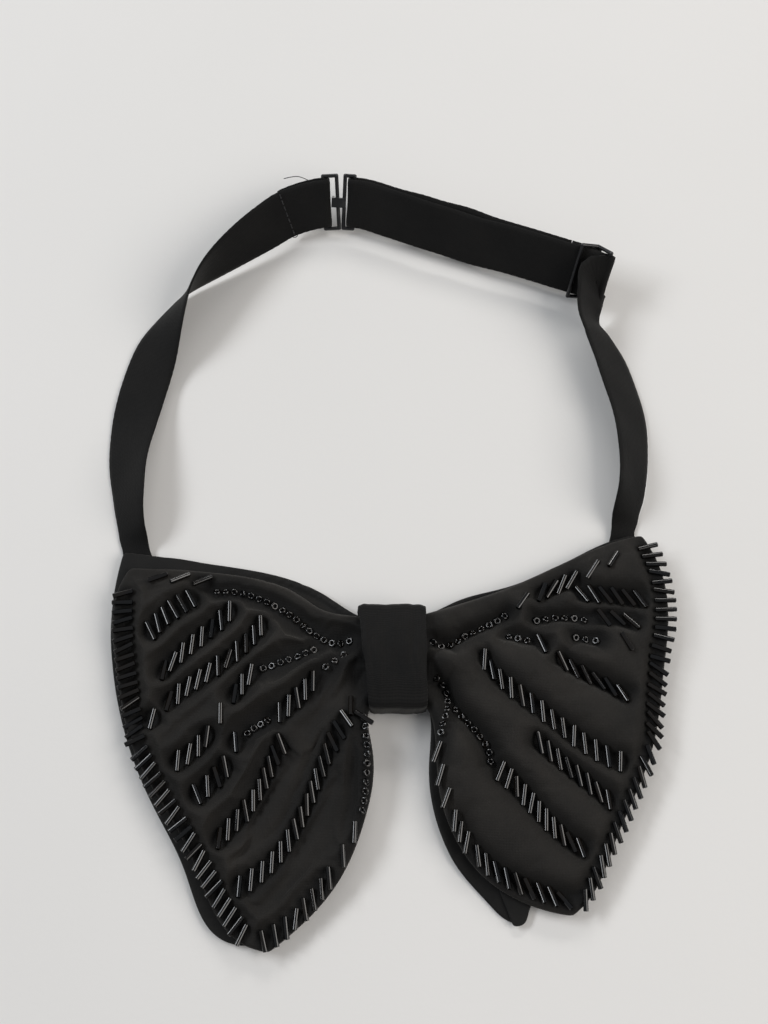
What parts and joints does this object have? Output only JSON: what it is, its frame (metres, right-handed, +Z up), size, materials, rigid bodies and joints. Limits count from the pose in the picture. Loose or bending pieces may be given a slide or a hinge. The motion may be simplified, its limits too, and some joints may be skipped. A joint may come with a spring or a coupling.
{
  "type": "bow tie",
  "caption": "Ready-tied butterfly bow tie: beaded front wings over plain back wings, a wrapped knot, and a neckband with hook, eye and slider.",
  "frame": {"origin": "middle of the knot's back, on the surface that the bow lies on face up", "axes": "+X along the bow, +Y from the bow towards the clasp at the back of the neck, +Z up out of the bow's face"},
  "size_m": [0.1646, 0.2315, 0.0174],
  "materials": {
    "satin_crepe": "black fabric with a soft sheen",
    "lining": "black plain weave",
    "interlining": "grey non-woven",
    "wadding": "soft fibre filling",
    "elastic_band": "black woven band with a fine cross rib",
    "thread": "black sewing thread",
    "glass_beads": "polished black glass",
    "black_metal": "black coated wire, slightly glossy"
  },
  "bodies": {
    "bow": {"knot_wrap": "satin_crepe", "knot_padding": "wadding", "waist_thread": "thread", "back_lining_left": "lining", "back_interlining_left": "interlining", "back_face_left": "satin_crepe", "front_lining_left": "lining", "front_wadding_left": "wadding", "front_face_left": "satin_crepe", "edge_bugles_left": "glass_beads", "vein_bugles_left": "glass_beads", "edge_seed_beads_left": "glass_beads", "vein_seed_beads_left": "glass_beads", "band_tail_left": "elastic_band", "back_lining_right": "lining", "back_interlining_right": "interlining", "back_face_right": "satin_crepe", "front_lining_right": "lining", "front_wadding_right": "wadding", "front_face_right": "satin_crepe", "edge_bugles_right": "glass_beads", "vein_bugles_right": "glass_beads", "edge_seed_beads_right": "glass_beads", "vein_seed_beads_right": "glass_beads", "band_tail_right": "elastic_band"},
    "left_band": {"band_left_run": "elastic_band", "band_left_end": "elastic_band", "band_left_bar_tack": "thread", "eye": "black_metal"},
    "right_band": {"band_right_single_run": "elastic_band", "band_right_through_run": "elastic_band", "band_right_sewn_run": "elastic_band", "band_right_end": "elastic_band"},
    "slider": {"slider": "black_metal", "band_slider_loop": "elastic_band", "band_slider_turn": "elastic_band", "band_slider_bar_tack": "thread"},
    "hook": {"hook": "black_metal"}
  },
  "joints": [
    {"name": "left_band_fold", "type": "hinge", "parent": "bow", "child": "left_band", "pos_m": [-0.0742, 0.0307, 0.0006], "axis": [0.9993, 0.0367, 0], "range_deg": [-90, 45]},
    {"name": "right_band_fold", "type": "hinge", "parent": "bow", "child": "right_band", "pos_m": [0.0673, 0.0359, 0.0006], "axis": [0.9993, 0.0367, 0], "range_deg": [-90, 45]},
    {"name": "slider_slide", "type": "slide", "parent": "right_band", "child": "slider", "axis": [-0.9455, 0.3256, 0], "range_m": [0, 0.045], "deforming": ["band_right_sewn_run", "band_right_through_run", "band_right_single_run"]},
    {"name": "hook_swivel", "type": "hinge", "parent": "right_band", "child": "hook", "pos_m": [-0.01166, 0.143, 0.0081], "axis": [0.0493, 0.7054, 0.7071], "range_deg": [0, 70]}
  ],
  "couplings": [
    {"joint": "right_band_fold", "follows": "left_band_fold", "ratio": 1}
  ]
}
